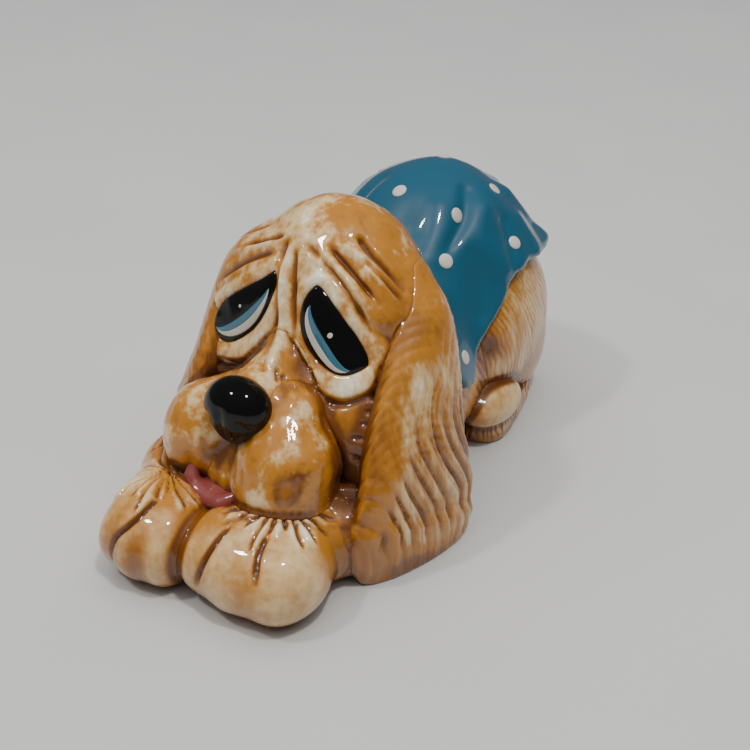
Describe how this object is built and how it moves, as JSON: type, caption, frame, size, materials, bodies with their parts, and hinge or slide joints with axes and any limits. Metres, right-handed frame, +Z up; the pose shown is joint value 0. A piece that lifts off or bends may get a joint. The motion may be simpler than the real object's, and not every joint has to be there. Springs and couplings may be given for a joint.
{
  "type": "ceramic dog figurine",
  "caption": "Reclining hound figurine in glazed ceramic, with drooping ears, sad eyes and a spotted blanket over its back; hollow cast and free standing.",
  "frame": {"origin": "on the flat underside, midway between the left and right flanks, near the middle of the length", "axes": "+Z up out of the back, -Y the way the dog faces, +X the dog's left side"},
  "size_m": [0.0678, 0.123, 0.0629],
  "materials": {
    "cream_glaze": "glossy, washed with amber in the hollows",
    "amber_glaze": "glossy, brushed wash over cream",
    "brown_glaze": "glossy",
    "blue_glaze": "glossy",
    "black_glaze": "glossy",
    "white_enamel": "satin, slightly raised",
    "pink_glaze": "glossy",
    "bisque": "unglazed, matt"
  },
  "bodies": {
    "root": {"torso_shell": "amber_glaze", "base_floor": "bisque", "head_shell": "cream_glaze", "muzzle_bridge": "cream_glaze", "left_flew": "amber_glaze", "right_flew": "amber_glaze", "chin": "brown_glaze", "nose": "black_glaze", "tongue": "pink_glaze", "left_eyeball": "cream_glaze", "right_eyeball": "cream_glaze", "left_eyelid": "cream_glaze", "right_eyelid": "cream_glaze", "left_iris": "blue_glaze", "right_iris": "blue_glaze", "left_pupil": "black_glaze", "right_pupil": "black_glaze", "catchlights": "white_enamel", "left_ear": "cream_glaze", "right_ear": "cream_glaze", "left_foreleg": "amber_glaze", "right_foreleg": "amber_glaze", "left_forepaw": "cream_glaze", "right_forepaw": "cream_glaze", "left_thigh": "amber_glaze", "right_thigh": "amber_glaze", "left_hind_paw": "cream_glaze", "right_hind_paw": "cream_glaze", "left_hind_sole": "brown_glaze", "right_hind_sole": "brown_glaze", "tail": "cream_glaze", "blanket": "blue_glaze", "blanket_dots": "white_enamel"}
  },
  "joints": []
}
